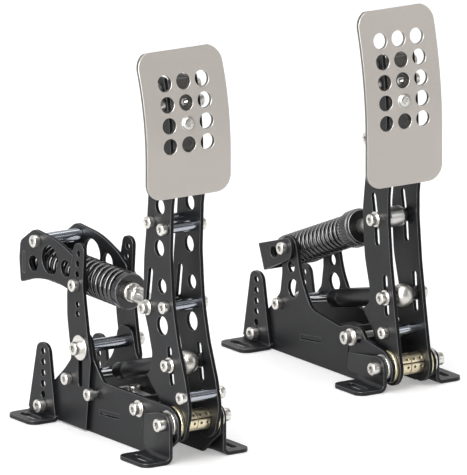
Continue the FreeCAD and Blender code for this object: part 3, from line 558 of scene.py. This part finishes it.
def cap_head(work, start, way, radius, height):
    """Cap screw head along way from the face at start: smooth side, round rim, hexagon socket darkened with
    painted shade.
    """
    large_head_r, large_flats, small_flats = 4.8, 4.4, 3.5
    flats = large_flats if radius > large_head_r else small_flats
    socket = hexagon(flats)
    work.turned([
        (0, radius - 0.4), (0.3, radius - 0.06), (0.7, radius), (height - 1.0, radius),
        (height - 0.5, radius - 0.12), (height - 0.18, radius - 0.42), (height, radius - 0.95),
        # from here the socket takes the darker steel, painted shade
        (height, flats / 2 + 0.35, "socket_steel"), (height - 0.3, socket),
        (height - socket_depth, socket), (height - socket_depth - 0.4, 0),
    ], start, way, "bright_steel", sides=72)


def threaded(low, high, radius, pitch=thread_pitch):
    """Rings of a threaded stretch."""
    count = max(2, int((high - low) / pitch))
    step = (high - low) / count
    profile = []
    for i in range(count):
        profile += [(low + step * i, radius - thread_depth), (low + step * (i + 0.5), radius)]
    return profile + [(high, radius - thread_depth)]


def shank(work, start, way, length, radius):
    """Plain shank with a threaded, chamfered tip."""
    plain = length - min(threaded_tip, length / 2)
    chamfer_length, chamfer = 0.5, 0.9
    work.turned(
        [(0, 0), (0, radius), (plain, radius)] + threaded(plain, length - chamfer_length, radius)
        + [(length, radius - chamfer), (length, 0)],
        start, way, "bright_steel")


def hex_nut(work, start, way, flats, height, bore):
    """Nut with chamfered corners, its flats above and below."""
    corner = flats / 2 * 1.10
    side = within(hexagon(flats), corner + 0.2)
    work.turned([
        (0, bore), (0, corner - 0.35), (0.45, side), (height - 0.45, side), (height, corner - 0.35),
        (height, bore + 0.5), (height - 0.5, bore), (0.5, bore),
    ], start, way, "bright_steel", closed=True, up=(0, 1, 0))


def washer(work, start, way, outer, inner, thick, look="bright_steel", soft=0.2):
    """Ring with softened outer edges."""
    profile = mirrored([(0, inner), (0, outer - soft), (soft, outer)], thick)
    work.turned(profile, start, way, look, closed=True)


def washer_like(work, solid, look="bright_steel", soft=0.2):
    """Ring of a solid's own size and place."""
    washer(work, solid.at(solid.low), solid.way, solid.outer, solid.inner, solid.length, look, soft)


def screw(work, solid):
    """A screw, bolt, pin or axle with its heads where the CAD solid has them."""
    heads = solid.heads()
    slim = solid.reach[solid.reach < solid.outer - head_step].max()
    for face, end in heads:
        cap_head(work, solid.at(face), solid.way * np.sign(end - face), solid.outer, abs(end - face))
    face, end = heads[0]
    if len(heads) == 2:
        length = heads[1][0] - face
        profile = [(0, 0), (0, slim), (length, slim), (length, 0)]
        work.turned(profile, solid.at(face), solid.way, "bright_steel")
    else:
        way = np.sign(face - end)
        far = solid.high if way > 0 else solid.low
        shank(work, solid.at(face), solid.way * way, abs(far - face), slim)


def bolts(node, body):
    """Rebuilds a node of screws, bolts and nuts, and of a tube where it has one."""
    work = Work()
    for points in islands(node):
        _, deep, tall = points.max(axis=0) - points.min(axis=0)
        solid = crosswise(points)
        stands = tall > 1.3 * deep
        six_sided = deep - tall > 0.5
        if stands:
            screw(work, upright(points))
        elif six_sided:
            hex_nut(work, solid.at(solid.low), solid.way, tall, solid.length, solid.inner)
        elif solid.heads():
            screw(work, solid)
        else:
            washer_like(work, solid, "tube_steel", 0.3)
    work.make(node + "_detail", body, "bright_steel", [node])


def washers(node, body):
    """Rebuilds a node of washers, tubes and spacers; washers that lie on each other stay apart."""
    work = Work()
    for points in islands(node):
        solid = crosswise(points)
        thin = solid.length < thickest_washer
        look = "bright_steel" if thin else "tube_steel"
        count = 2 if thin and solid.length > thickest_single_washer else 1
        thick = solid.length / count
        for i in range(count):
            washer(work, solid.at(solid.low + thick * i), solid.way, solid.outer, solid.inner, thick, look)
    work.make(node + "_detail", body, "bright_steel", [node])


def pivot(unit):
    """Axle with its long heads, brass thrust washers and split bronze bushes."""
    bolts(unit + "_pivot_axle", "frame")
    work = Work(sides=72)
    node = unit + "_thrust_washers"
    for points in islands(node):
        washer_like(work, crosswise(points), "brass", 0.3)
    work.make(node + "_detail", "frame", "bronze", [node])
    bushes(unit)


def turn_from(angle, other):
    """Angle from another one, between minus and plus half a turn."""
    return (angle - other + math.pi) % (2 * math.pi) - math.pi


def dimpled(outer, seam, dimples):
    """Radius, at a distance along it, of a bush with a narrow seam and round dimples."""
    seam_half_width, seam_depth = 0.28, 0.6
    dimple_r, dimple_depth = 1.05, 0.7

    def at(distance):
        def radius(angle):
            in_seam = abs(turn_from(angle, seam)) * outer < seam_half_width
            depth = seam_depth if in_seam else 0.0
            for place, turn in dimples:
                reach = math.hypot(turn_from(angle, turn) * outer, distance - place)
                if reach < dimple_r:
                    depth = max(depth, dimple_depth * math.sqrt(1 - (reach / dimple_r) ** 2))
            return outer - depth
        return radius
    return at


def bushes(unit):
    """Split bronze bushes with a seam that faces forward and two rows of dimples, which are darkened with
    painted shade.
    """
    node = unit + "_pivot_bushes"
    seam = math.radians(16)
    dimple_rows = (0.27, 0.76)
    beside_seam = 0.40
    chamfer, margin, steps = 0.45, 0.35, 44
    work = Work(sides=180)
    for points in islands(node):
        solid = crosswise(points)
        outer, length = solid.outer, solid.length
        dimples = [(length * row, seam + side * beside_seam) for row in dimple_rows for side in (-1, 1)]
        radius_at = dimpled(outer, seam, dimples)
        profile = [(0, solid.inner), (0, outer - chamfer)]
        for i in range(steps + 1):
            distance = margin + (length - 2 * margin) * i / steps
            profile.append((distance, radius_at(distance)))
        profile += [(length, outer - chamfer), (length, solid.inner)]
        past_end_face = len(work.faces) + 2 * work.sides
        start = solid.at(solid.low)
        work.turned(profile, start, solid.way, "bronze", closed=True)
        # the recessed faces of the seam and dimples take the dark bronze, painted shade
        work.mark(past_end_face, start, solid.way, outer - 0.9, outer - 0.12, "bronze_painted_shade")
    work.make(node + "_detail", unit + "_arm", "bronze", [node], sharp=50)


def linkage_pins(unit):
    """Pins across the arm with their washers and dark spacers."""
    node = unit + "_linkage_pins"
    pins, spacers = Work(), Work()
    for points in islands(node):
        solid = crosswise(points)
        if solid.length > shortest_pin:
            screw(pins, solid)
        elif solid.length < thickest_pin_washer:
            washer_like(pins, solid)
        else:
            washer_like(spacers, solid, "black_alloy", 0.5)
    pins.make(node + "_detail", unit + "_arm", "bright_steel", [node])
    spacers.make(unit + "_pin_spacers_detail", unit + "_arm", "black_alloy")


def pad_screw(unit):
    """Low domed screw with a rim and a six-lobed recess, square to the pad; the step at the foot of the
    dome and the recess walls are darkened with painted shade.
    """
    node = unit + "_pad_screw"
    points = islands(node)[0]
    centre = points.mean(axis=0)
    way = np.linalg.svd(points - centre, full_matrices=False)[2][0]
    solid = Solid(points, centre, way * -np.sign(way[1]))
    face, end = solid.heads()[0]
    height = end - face
    radius = solid.outer
    recess = star(2.5, 1.9)
    work = Work(sides=72)
    work.turned([
        # the step ring at the foot of the dome takes the darker steel, painted shade
        (0, radius - 0.2), (0.2, radius), (0.55, radius), (0.8, radius - 0.3, "socket_steel"),
        (0.8, radius - 0.8, "turned_steel"), (1.3, radius - 1.0), (1.8, radius - 1.4),
        # the recess walls take the darker steel, painted shade; its floor is bright
        (height - 0.2, radius - 2.1), (height, radius - 2.7), (height, recess, "socket_steel"),
        (height - 1.3, recess, "bright_steel"), (height - 1.6, 0),
    ], solid.at(face), solid.way, "bright_steel")
    shank(work, solid.at(face), -solid.way, face - solid.low, pad_screw_r)
    work.make(node + "_detail", unit + "_arm", "bright_steel", [node])


def spring_line(unit):
    return Line(joints[unit + "_rod_pivot"]["pos_m"], joints[unit + "_cage_pivot"]["pos_m"])


def ring_back(line):
    """Where the throttle's ring ends and its coil starts, along the line."""
    return line.solids("throttle_spring_adjuster")[0].low - ring_ahead + ring_length


def spring(unit):
    """Coil with closed ends, as round wire."""
    node = unit + "_spring"
    line = spring_line(unit)
    turns, wire_r, travel = coils[unit]
    solid = line.solids(node)[0]
    front = solid.low if unit == "brake" else ring_back(line)
    length = solid.high - front
    mean_r = solid.outer - wire_r
    up = Vector((1, 0, 0))
    side = line.way.cross(up)
    closed_turns = 0.8
    closed_pitch = 2 * wire_r * 1.03
    active = turns - 2 * closed_turns
    pitch = (length - 2 * wire_r - 2 * closed_turns * closed_pitch) / active
    steps = 64
    path = []
    for i in range(turns * steps + 1):
        turn = i / steps
        ends = min(turn, closed_turns) + max(0.0, turn - turns + closed_turns)
        distance = front + wire_r + ends * closed_pitch + (turn - ends) * pitch
        angle = 2 * math.pi * turn
        offset = (up * math.cos(angle) + side * math.sin(angle)) * mean_r * MM
        path.append(solid.at(distance) + offset)
    work = Work()
    work.swept(path, wire_r, "spring_black", sides=24)
    piece = work.make(node + "_detail", unit + "_cage", "spring_black", [node], sharp=60)
    tuple(solid.at(solid.high))
    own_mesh(piece)


def ball_eye(work, place, radius, half_width, bore, look):
    """Ball with flat sides and a bore, on a pin along X."""
    lip, steps = 0.8, 20
    profile = [(-half_width, bore), (-half_width, bore + lip)]
    flat = math.asin(half_width / radius)
    for i in range(steps + 1):
        angle = -flat + 2 * flat * i / steps
        profile.append((radius * math.sin(angle), radius * math.cos(angle)))
    profile += [(half_width, bore + lip), (half_width, bore)]
    work.turned(profile, place, (1, 0, 0), look, closed=True)


def brake_spring_set():
    """Rod with its eye, flanged nut, black cup and stop nut of the brake."""
    line = spring_line("brake")
    rod = line.solids("brake_spring_rod")[0]
    cup = line.solids("brake_spring_cup")[0]
    nut, stop = line.solids("brake_spring_nuts")
    past_eye = 12.0
    rod_r = rod.radius_between(past_eye, rod.high + fit)
    neck = spring_ball[0] - 1.5
    front_thread_end = cup.high + 20
    work = Work(sides=60)
    ball_eye(work, line.start, *spring_ball, "ball_steel")
    work.turned(
        [(neck, 0), (neck, rod_r), (nut.low, rod_r)]
        + threaded(nut.low + 1, front_thread_end, rod_r, rod_pitch) + [(front_thread_end + 2, rod_r - 0.3)]
        + threaded(stop.low - 4, rod.high - 1, rod_r, rod_pitch) + [(rod.high, rod_r - 1), (rod.high, 0)],
        line.start, line.way, "turned_steel")
    work.make("brake_spring_rod_detail", "brake_spring_rod", "bright_steel", ["brake_spring_rod"])

    front = nut.low
    nut_flats, nut_corner_r = 12.6, 7.0
    flange = 3.4
    hex_end = cup.low - flange
    work = Work(sides=60)
    side = within(hexagon(nut_flats), nut_corner_r)
    work.turned([
        (front, rod_r), (front, 5.9), (front + 0.6, side), (hex_end - 0.5, side), (hex_end, 6.3),
        (hex_end, rod_r),
    ], line.start, line.way, "bright_steel", closed=True)
    washer(work, nut.at(hex_end), line.way, nut.outer, rod_r, cup.low - hex_end, "bright_steel", 0.3)
    side = within(hexagon(stop.outer * 1.9), stop.outer)
    work.turned([
        (stop.low, rod_r), (stop.low, stop.outer - 0.6), (stop.low + 0.6, side), (stop.high - 0.6, side),
        (stop.high, stop.outer - 0.6), (stop.high, rod_r),
    ], line.start, line.way, "bright_steel", closed=True)
    work.make("brake_spring_nuts_detail", "brake_spring_rod", "bright_steel", ["brake_spring_nuts"])

    outer = cup.outer
    work = Work(sides=96)
    work.turned([
        # the rim of the cup's front takes the lighter black, a painted highlight
        (cup.low, rod_r + fit), (cup.low, outer - 1.0, "rib_edge"), (cup.low + 0.25, outer - 0.5),
        (cup.low + 0.6, outer - 0.12, "black_alloy"), (cup.low + 1.2, outer), (cup.high - 0.5, outer),
        (cup.high, outer - 0.4), (cup.high, rod_r + fit),
    ], line.start, line.way, "black_alloy", closed=True)
    work.make("brake_spring_cup_detail", "brake_spring_rod", "black_alloy", ["brake_spring_cup"])


def throttle_rod_end(line):
    """Grooved eye on the spring pin and its shank, whose radius is returned."""
    points = islands("throttle_rod_end")[0]
    width = points[:, 0].max() - points[:, 0].min()
    end = line.solids("throttle_rod_end")[0]
    eye_r = -end.low
    eye_bore = 2.6
    shank_start = eye_r - 1.5
    shank_r = end.radius_between(end.high - 0.5, end.high + fit)
    work = Work(sides=60)
    half_profile = [
        (0, eye_bore), (0, eye_r - 1.2), (0.5, eye_r - 0.6), (2.4, eye_r), (2.7, eye_r - 0.4), (3.0, eye_r),
    ]
    work.turned(mirrored(half_profile, width), line.start - Vector((width / 2 * MM, 0, 0)), (1, 0, 0),
                "turned_steel", closed=True)
    work.turned([(shank_start, 0), (shank_start, shank_r), (end.high - 0.3, shank_r), (end.high, 0)],
                line.start, line.way, "turned_steel")
    work.make("throttle_rod_end_detail", "throttle_spring_rod", "bright_steel", ["throttle_rod_end"])
    return shank_r


def throttle_spring_set():
    """Rod end, rod, knurled adjuster ring, sleeve and stop of the throttle."""
    line = spring_line("throttle")
    shank_r = throttle_rod_end(line)

    rod = line.solids("throttle_spring_rod")[0]
    work = Work()
    work.turned(
        [(rod.low, 0), (rod.low, rod.outer)] + threaded(rod.low + 1, rod.high - 1, rod.outer, rod_pitch)
        + [(rod.high, rod.outer - 1), (rod.high, 0)],
        line.start, line.way, "turned_steel")
    work.make("throttle_spring_rod_detail", "throttle_spring_rod", "bright_steel", ["throttle_spring_rod"])

    joined, stop = line.solids("throttle_spring_adjuster")
    bore = shank_r + fit
    outer = joined.outer
    groove_r = outer - rib_depth
    rim = joined.radius_between(joined.low - fit, joined.low + 0.5)
    ribs = ribbed(outer, rib_depth, ring_ribs)
    high = ring_back(line)
    low = high - ring_length
    work = Work(sides=360)
    work.turned([
        # the front rim takes the lighter black, a painted highlight
        (low, bore, "black_face"), (low, rim - 0.5, "rib_edge"), (low + 0.4, rim, "black_alloy"),
        (low + 2.2, rim + 0.5), (low + 2.8, outer - 0.1), (low + 3.4, outer - 0.1),
        # at the back end of the ribs a band takes the lighter black, a painted highlight
        (low + 3.6, groove_r), (low + 3.9, groove_r), (low + 4.1, ribs), (high - 1.4, ribs, "rib_edge"),
        (high - 1.2, groove_r, "black_alloy"), (high, groove_r - 0.2), (high, bore),
    ], line.start, line.way, "black_alloy", closed=True)
    # the walls of the ribs take the lighter black, painted highlights that outline the bars
    painted_highlight_reach = (outer - 1.1 * rib_depth, outer - 0.15 * rib_depth)
    work.mark(0, line.start, line.way, *painted_highlight_reach, "rib_edge")
    bore = rod.outer + fit
    washer(work, joined.at(high), line.way, sleeve_r, bore, joined.high - high, "black_alloy", 0.4)
    washer(work, stop.at(stop.low), line.way, stop.outer, bore, stop.length, "bright_steel", 0.4)
    work.make("throttle_spring_adjuster_detail", "throttle_spring_rod", "black_alloy",
              ["throttle_spring_adjuster"])


def rounded_end(end, radius, round_r, steps=8):
    """Profile of a quarter round that ends at a distance."""
    profile = []
    for k in range(steps + 1):
        turn = math.pi / 2 * k / steps
        profile.append((end - round_r * (1 - math.sin(turn)), radius - round_r * (1 - math.cos(turn))))
    return profile


def damper(unit):
    """Gloss damper with its stepped nose, ball eye in front and chromed rod behind."""
    pin = Vector(joints[unit + "_damper_pivot"]["pos_m"])
    line = Line(pin, pin + Vector(joints[unit + "_damper_slide"]["axis"]))
    body = line.solids(unit + "_damper_body")[0]
    step = body.along[body.reach > body.outer - mesh_slack].max()
    nose = body.radius_between(step + 1, body.high + fit)
    bore = body.inner
    bore_depth, nose_round = 1.5, 3.0
    work = Work(sides=72)
    work.turned(
        [(body.low, 0), (body.low, body.outer - 1.6), (body.low + 0.3, body.outer - 0.9),
         (body.low + 1.4, body.outer), (step - 0.45, body.outer), (step, body.outer - 0.12),
         # the step to the nose takes the lighter black, a painted highlight
         (step + 0.25, nose - 0.3, "rib_edge"), (step + 0.7, nose - 0.05, "damper_black"),
         (step + 1.0, nose)]
        + rounded_end(body.high, nose, nose_round)
        + [(body.high, bore + 0.6), (body.high - bore_depth, bore + 0.3), (body.high - bore_depth, 0)],
        line.start, line.way, "damper_black")
    work.make(unit + "_damper_body_detail", unit + "_damper", "damper_black", [unit + "_damper_body"])

    ball_r = damper_ball[0]
    neck_r, collar_r = 3.4, 4.8
    work = Work(sides=60)
    ball_eye(work, pin, *damper_ball, "ball_steel")
    work.turned([
        (ball_r - 1.5, 0), (ball_r - 1.5, neck_r), (ball_r + 0.6, neck_r), (ball_r + 1.0, collar_r),
        (body.low, collar_r), (body.low, 0),
    ], line.start, line.way, "turned_steel")
    work.make(unit + "_damper_eye_detail", unit + "_damper", "bright_steel", [unit + "_damper_eye"])

    rod = line.solids(unit + "_damper_rod")[0]
    rear = rod.high - rear_ball[0]
    slim = rod.radius_between(rod.low - fit, rear - 10)
    collar_r = slim + 0.9
    work = Work()
    work.turned([
        (rod.low, 0), (rod.low, slim), (rear - 7.5, slim), (rear - 6.5, collar_r), (rear - 4.2, collar_r),
    ], line.start, line.way, "chrome")
    ball_eye(work, rod.at(rear), *rear_ball, "chrome")
    work.make(unit + "_damper_rod_detail", unit + "_damper_rod", "chrome", [unit + "_damper_rod"])


def dress_cad():
    """Finishes the CAD nodes that keep their shape."""
    flat = {
        "brake": ("left_side_plate", "right_side_plate", "left_mast", "right_mast", "left_arm_plate",
                  "right_arm_plate", "left_cage_plate", "right_cage_plate"),
        "throttle": ("left_side_plate", "right_side_plate", "left_arm_plate", "right_arm_plate"),
    }
    bent = {
        "brake": ("front_feet", "rear_feet", "cross_plate", "cage_web"),
        "throttle": ("front_feet", "rear_feet", "cross_plate", "spring_bracket"),
    }
    for unit in UNITS:
        for name in flat[unit]:
            dress_plate(unit + "_" + name)
        for name in bent[unit]:
            dress(unit + "_" + name, "black_steel", "black_painted_highlight")
        dress(unit + "_pad_bracket", "bracket_grey", "black_painted_highlight")
        dress_pad(unit + "_pad")
    dress("brake_load_cell", "cell_alloy", "cell_alloy", fine_edge_width)
    dress("throttle_position_sensor", "black_plastic", "black_plastic", fine_edge_width)


def build():
    dress_cad()
    for unit in UNITS:
        bolts(unit + "_frame_bolts", "frame")
        bolts(unit + "_arm_bolts", unit + "_arm")
        washers(unit + "_washers", "frame")
        washers(unit + "_arm_tubes", unit + "_arm")
        pivot(unit)
        linkage_pins(unit)
        pad_screw(unit)
        spring(unit)
        damper(unit)
    washers("brake_frame_spacers", "frame")
    bolts("brake_cage_tube", "brake_cage")
    brake_spring_set()
    throttle_spring_set()


def aim(piece, place, way):
    """Puts a camera or lamp at a place, facing along way."""
    piece.location = place
    piece.rotation_mode = "QUATERNION"
    piece.rotation_quaternion = way.to_track_quat("-Z", "Y")
    bpy.context.scene.collection.objects.link(piece)


def camera():
    """Long lens at the photograph's viewing angle."""
    turn, rise = math.radians(33.4), math.radians(13.8)
    look = Vector((math.sin(turn) * math.cos(rise), math.cos(turn) * math.cos(rise), -math.sin(rise)))
    target = Vector((-0.0624, -0.0896, 0.150))
    distance = 14.0
    picture_pixels, pixels_per_mm = 475, 1.36
    picture_height = picture_pixels / pixels_per_mm * MM
    data = bpy.data.cameras.new("camera")
    data.sensor_width = 36
    data.lens = data.sensor_width * distance / picture_height
    data.clip_end = 80
    eye = bpy.data.objects.new("camera", data)
    aim(eye, target - look * distance, look)
    bpy.context.scene.camera = eye


def lamp(name, place, target, size, power):
    """Rectangular lamp: place, target and size in metres, power in watts."""
    data = bpy.data.lights.new(name, "AREA")
    data.shape = "RECTANGLE"
    data.size, data.size_y = size
    data.energy = power
    piece = bpy.data.objects.new(name, data)
    aim(piece, place, Vector(target) - Vector(place))
    piece.visible_camera = False


def floor():
    """Pale floor that glows a little for the camera and in reflections, and keeps shadows."""
    reach, drop = 9.0, 0.0002
    camera_glow, reflected_glow = 0.31, 0.10
    corners = [(-reach, -reach, 0), (reach, -reach, 0), (reach, reach, 0), (-reach, reach, 0)]
    mesh = bpy.data.meshes.new("floor")
    mesh.from_pydata(corners, [], [(0, 1, 2, 3)])
    piece = bpy.data.objects.new("floor", mesh)
    piece.location = (0, 0, -drop)
    bpy.context.scene.collection.objects.link(piece)
    look = Shader("pale_floor", (0.86, 0.86, 0.86), 0.0, 0.7)
    look.tint(look.noise(3, 2), 0.99, 1.01)
    path = look.add("ShaderNodeLightPath")
    reflected = look.add("ShaderNodeMath")
    reflected.operation = "MULTIPLY"
    reflected.inputs[1].default_value = reflected_glow
    look.link(path, "Is Glossy Ray", reflected, 0)
    amount = look.add("ShaderNodeMath")
    amount.operation = "MULTIPLY_ADD"
    amount.inputs[1].default_value = camera_glow
    look.link(path, "Is Camera Ray", amount, 0)
    look.link(reflected, 0, amount, 2)
    glow = look.add("ShaderNodeEmission")
    look.link(amount, 0, glow, "Strength")
    both = look.add("ShaderNodeAddShader")
    look.link(look.bsdf, 0, both, 0)
    look.link(glow, 0, both, 1)
    look.link(both, 0, look.out, "Surface")
    mesh.materials.append(look.material)


def sky():
    """White backdrop behind the object, dim room in front, soft dome above, tall panel at the left."""
    world = bpy.data.worlds.new("studio")
    bpy.context.scene.world = world
    world.use_nodes = True
    tree = world.node_tree

    def feed(socket, value):
        """Sets a socket, or links it to another node's output."""
        if isinstance(value, bpy.types.NodeSocket):
            tree.links.new(value, socket)
        else:
            socket.default_value = value

    def ramp(source, low, high, most, least=0.0):
        node = tree.nodes.new("ShaderNodeMapRange")
        node.interpolation_type = "SMOOTHSTEP"
        names = ("Value", "From Min", "From Max", "To Min", "To Max")
        for name, value in zip(names, (source, low, high, least, most)):
            feed(node.inputs[name], value)
        return node.outputs["Result"]

    def larger(first, second):
        node = tree.nodes.new("ShaderNodeMath")
        node.operation = "MAXIMUM"
        feed(node.inputs[0], first)
        feed(node.inputs[1], second)
        return node.outputs[0]

    def choose(share, otherwise, chosen):
        node = tree.nodes.new("ShaderNodeMix")
        feed(node.inputs["Factor"], share)
        for socket, value in zip(mix_numbers, (otherwise, chosen)):
            feed(node.inputs[socket], value)
        return node.outputs[mix_number_out]

    def vector(operation, output, *inputs):
        node = tree.nodes.new("ShaderNodeVectorMath")
        node.operation = operation
        for socket, value in zip(node.inputs, inputs):
            feed(socket, value)
        return node.outputs[output]

    direction = tree.nodes.new("ShaderNodeTexCoord").outputs["Generated"]
    axes = tree.nodes.new("ShaderNodeSeparateXYZ")
    feed(axes.inputs["Vector"], direction)
    dome = ramp(axes.outputs["Z"], 0.45, 0.85, 0.32, 0.05)
    backdrop = ramp(axes.outputs["Y"], 0.25, 0.75, 0.85)
    level = vector("NORMALIZE", "Vector", vector("MULTIPLY", "Vector", direction, (1, 1, 0)))
    panel_way = (-0.9, -0.436, 0)
    panel = ramp(vector("DOT_PRODUCT", "Value", level, panel_way), 0.88, 0.95, 8.0)
    room, white = 0.42, 1.0
    path = tree.nodes.new("ShaderNodeLightPath")
    seen = larger(path.outputs["Is Camera Ray"], path.outputs["Is Transmission Ray"])
    reflected = choose(path.outputs["Is Glossy Ray"], room, larger(larger(dome, backdrop), panel))
    background = tree.nodes["Background"]
    feed(background.inputs["Color"], (1, 1, 1, 1))
    feed(background.inputs["Strength"], choose(seen, reflected, white))


def studio():
    floor()
    sky()
    lamp("key", (-1.5, -1.2, 2.2), (0, 0, 0.1), (1.3, 1.3), 24)
    lamp("strip", (-2.0, -0.35, 1.5), (0, 0, 0.15), (0.18, 3.0), 12)
    lamp("top", (0.2, 0.3, 2.4), (0, 0, 0.1), (2.0, 2.0), 24)
    lamp("fill", (1.8, -1.6, 0.9), (0, 0, 0.12), (1.2, 1.2), 7)
    bpy.context.scene.view_settings.view_transform = "Standard"


build()
camera()
studio()
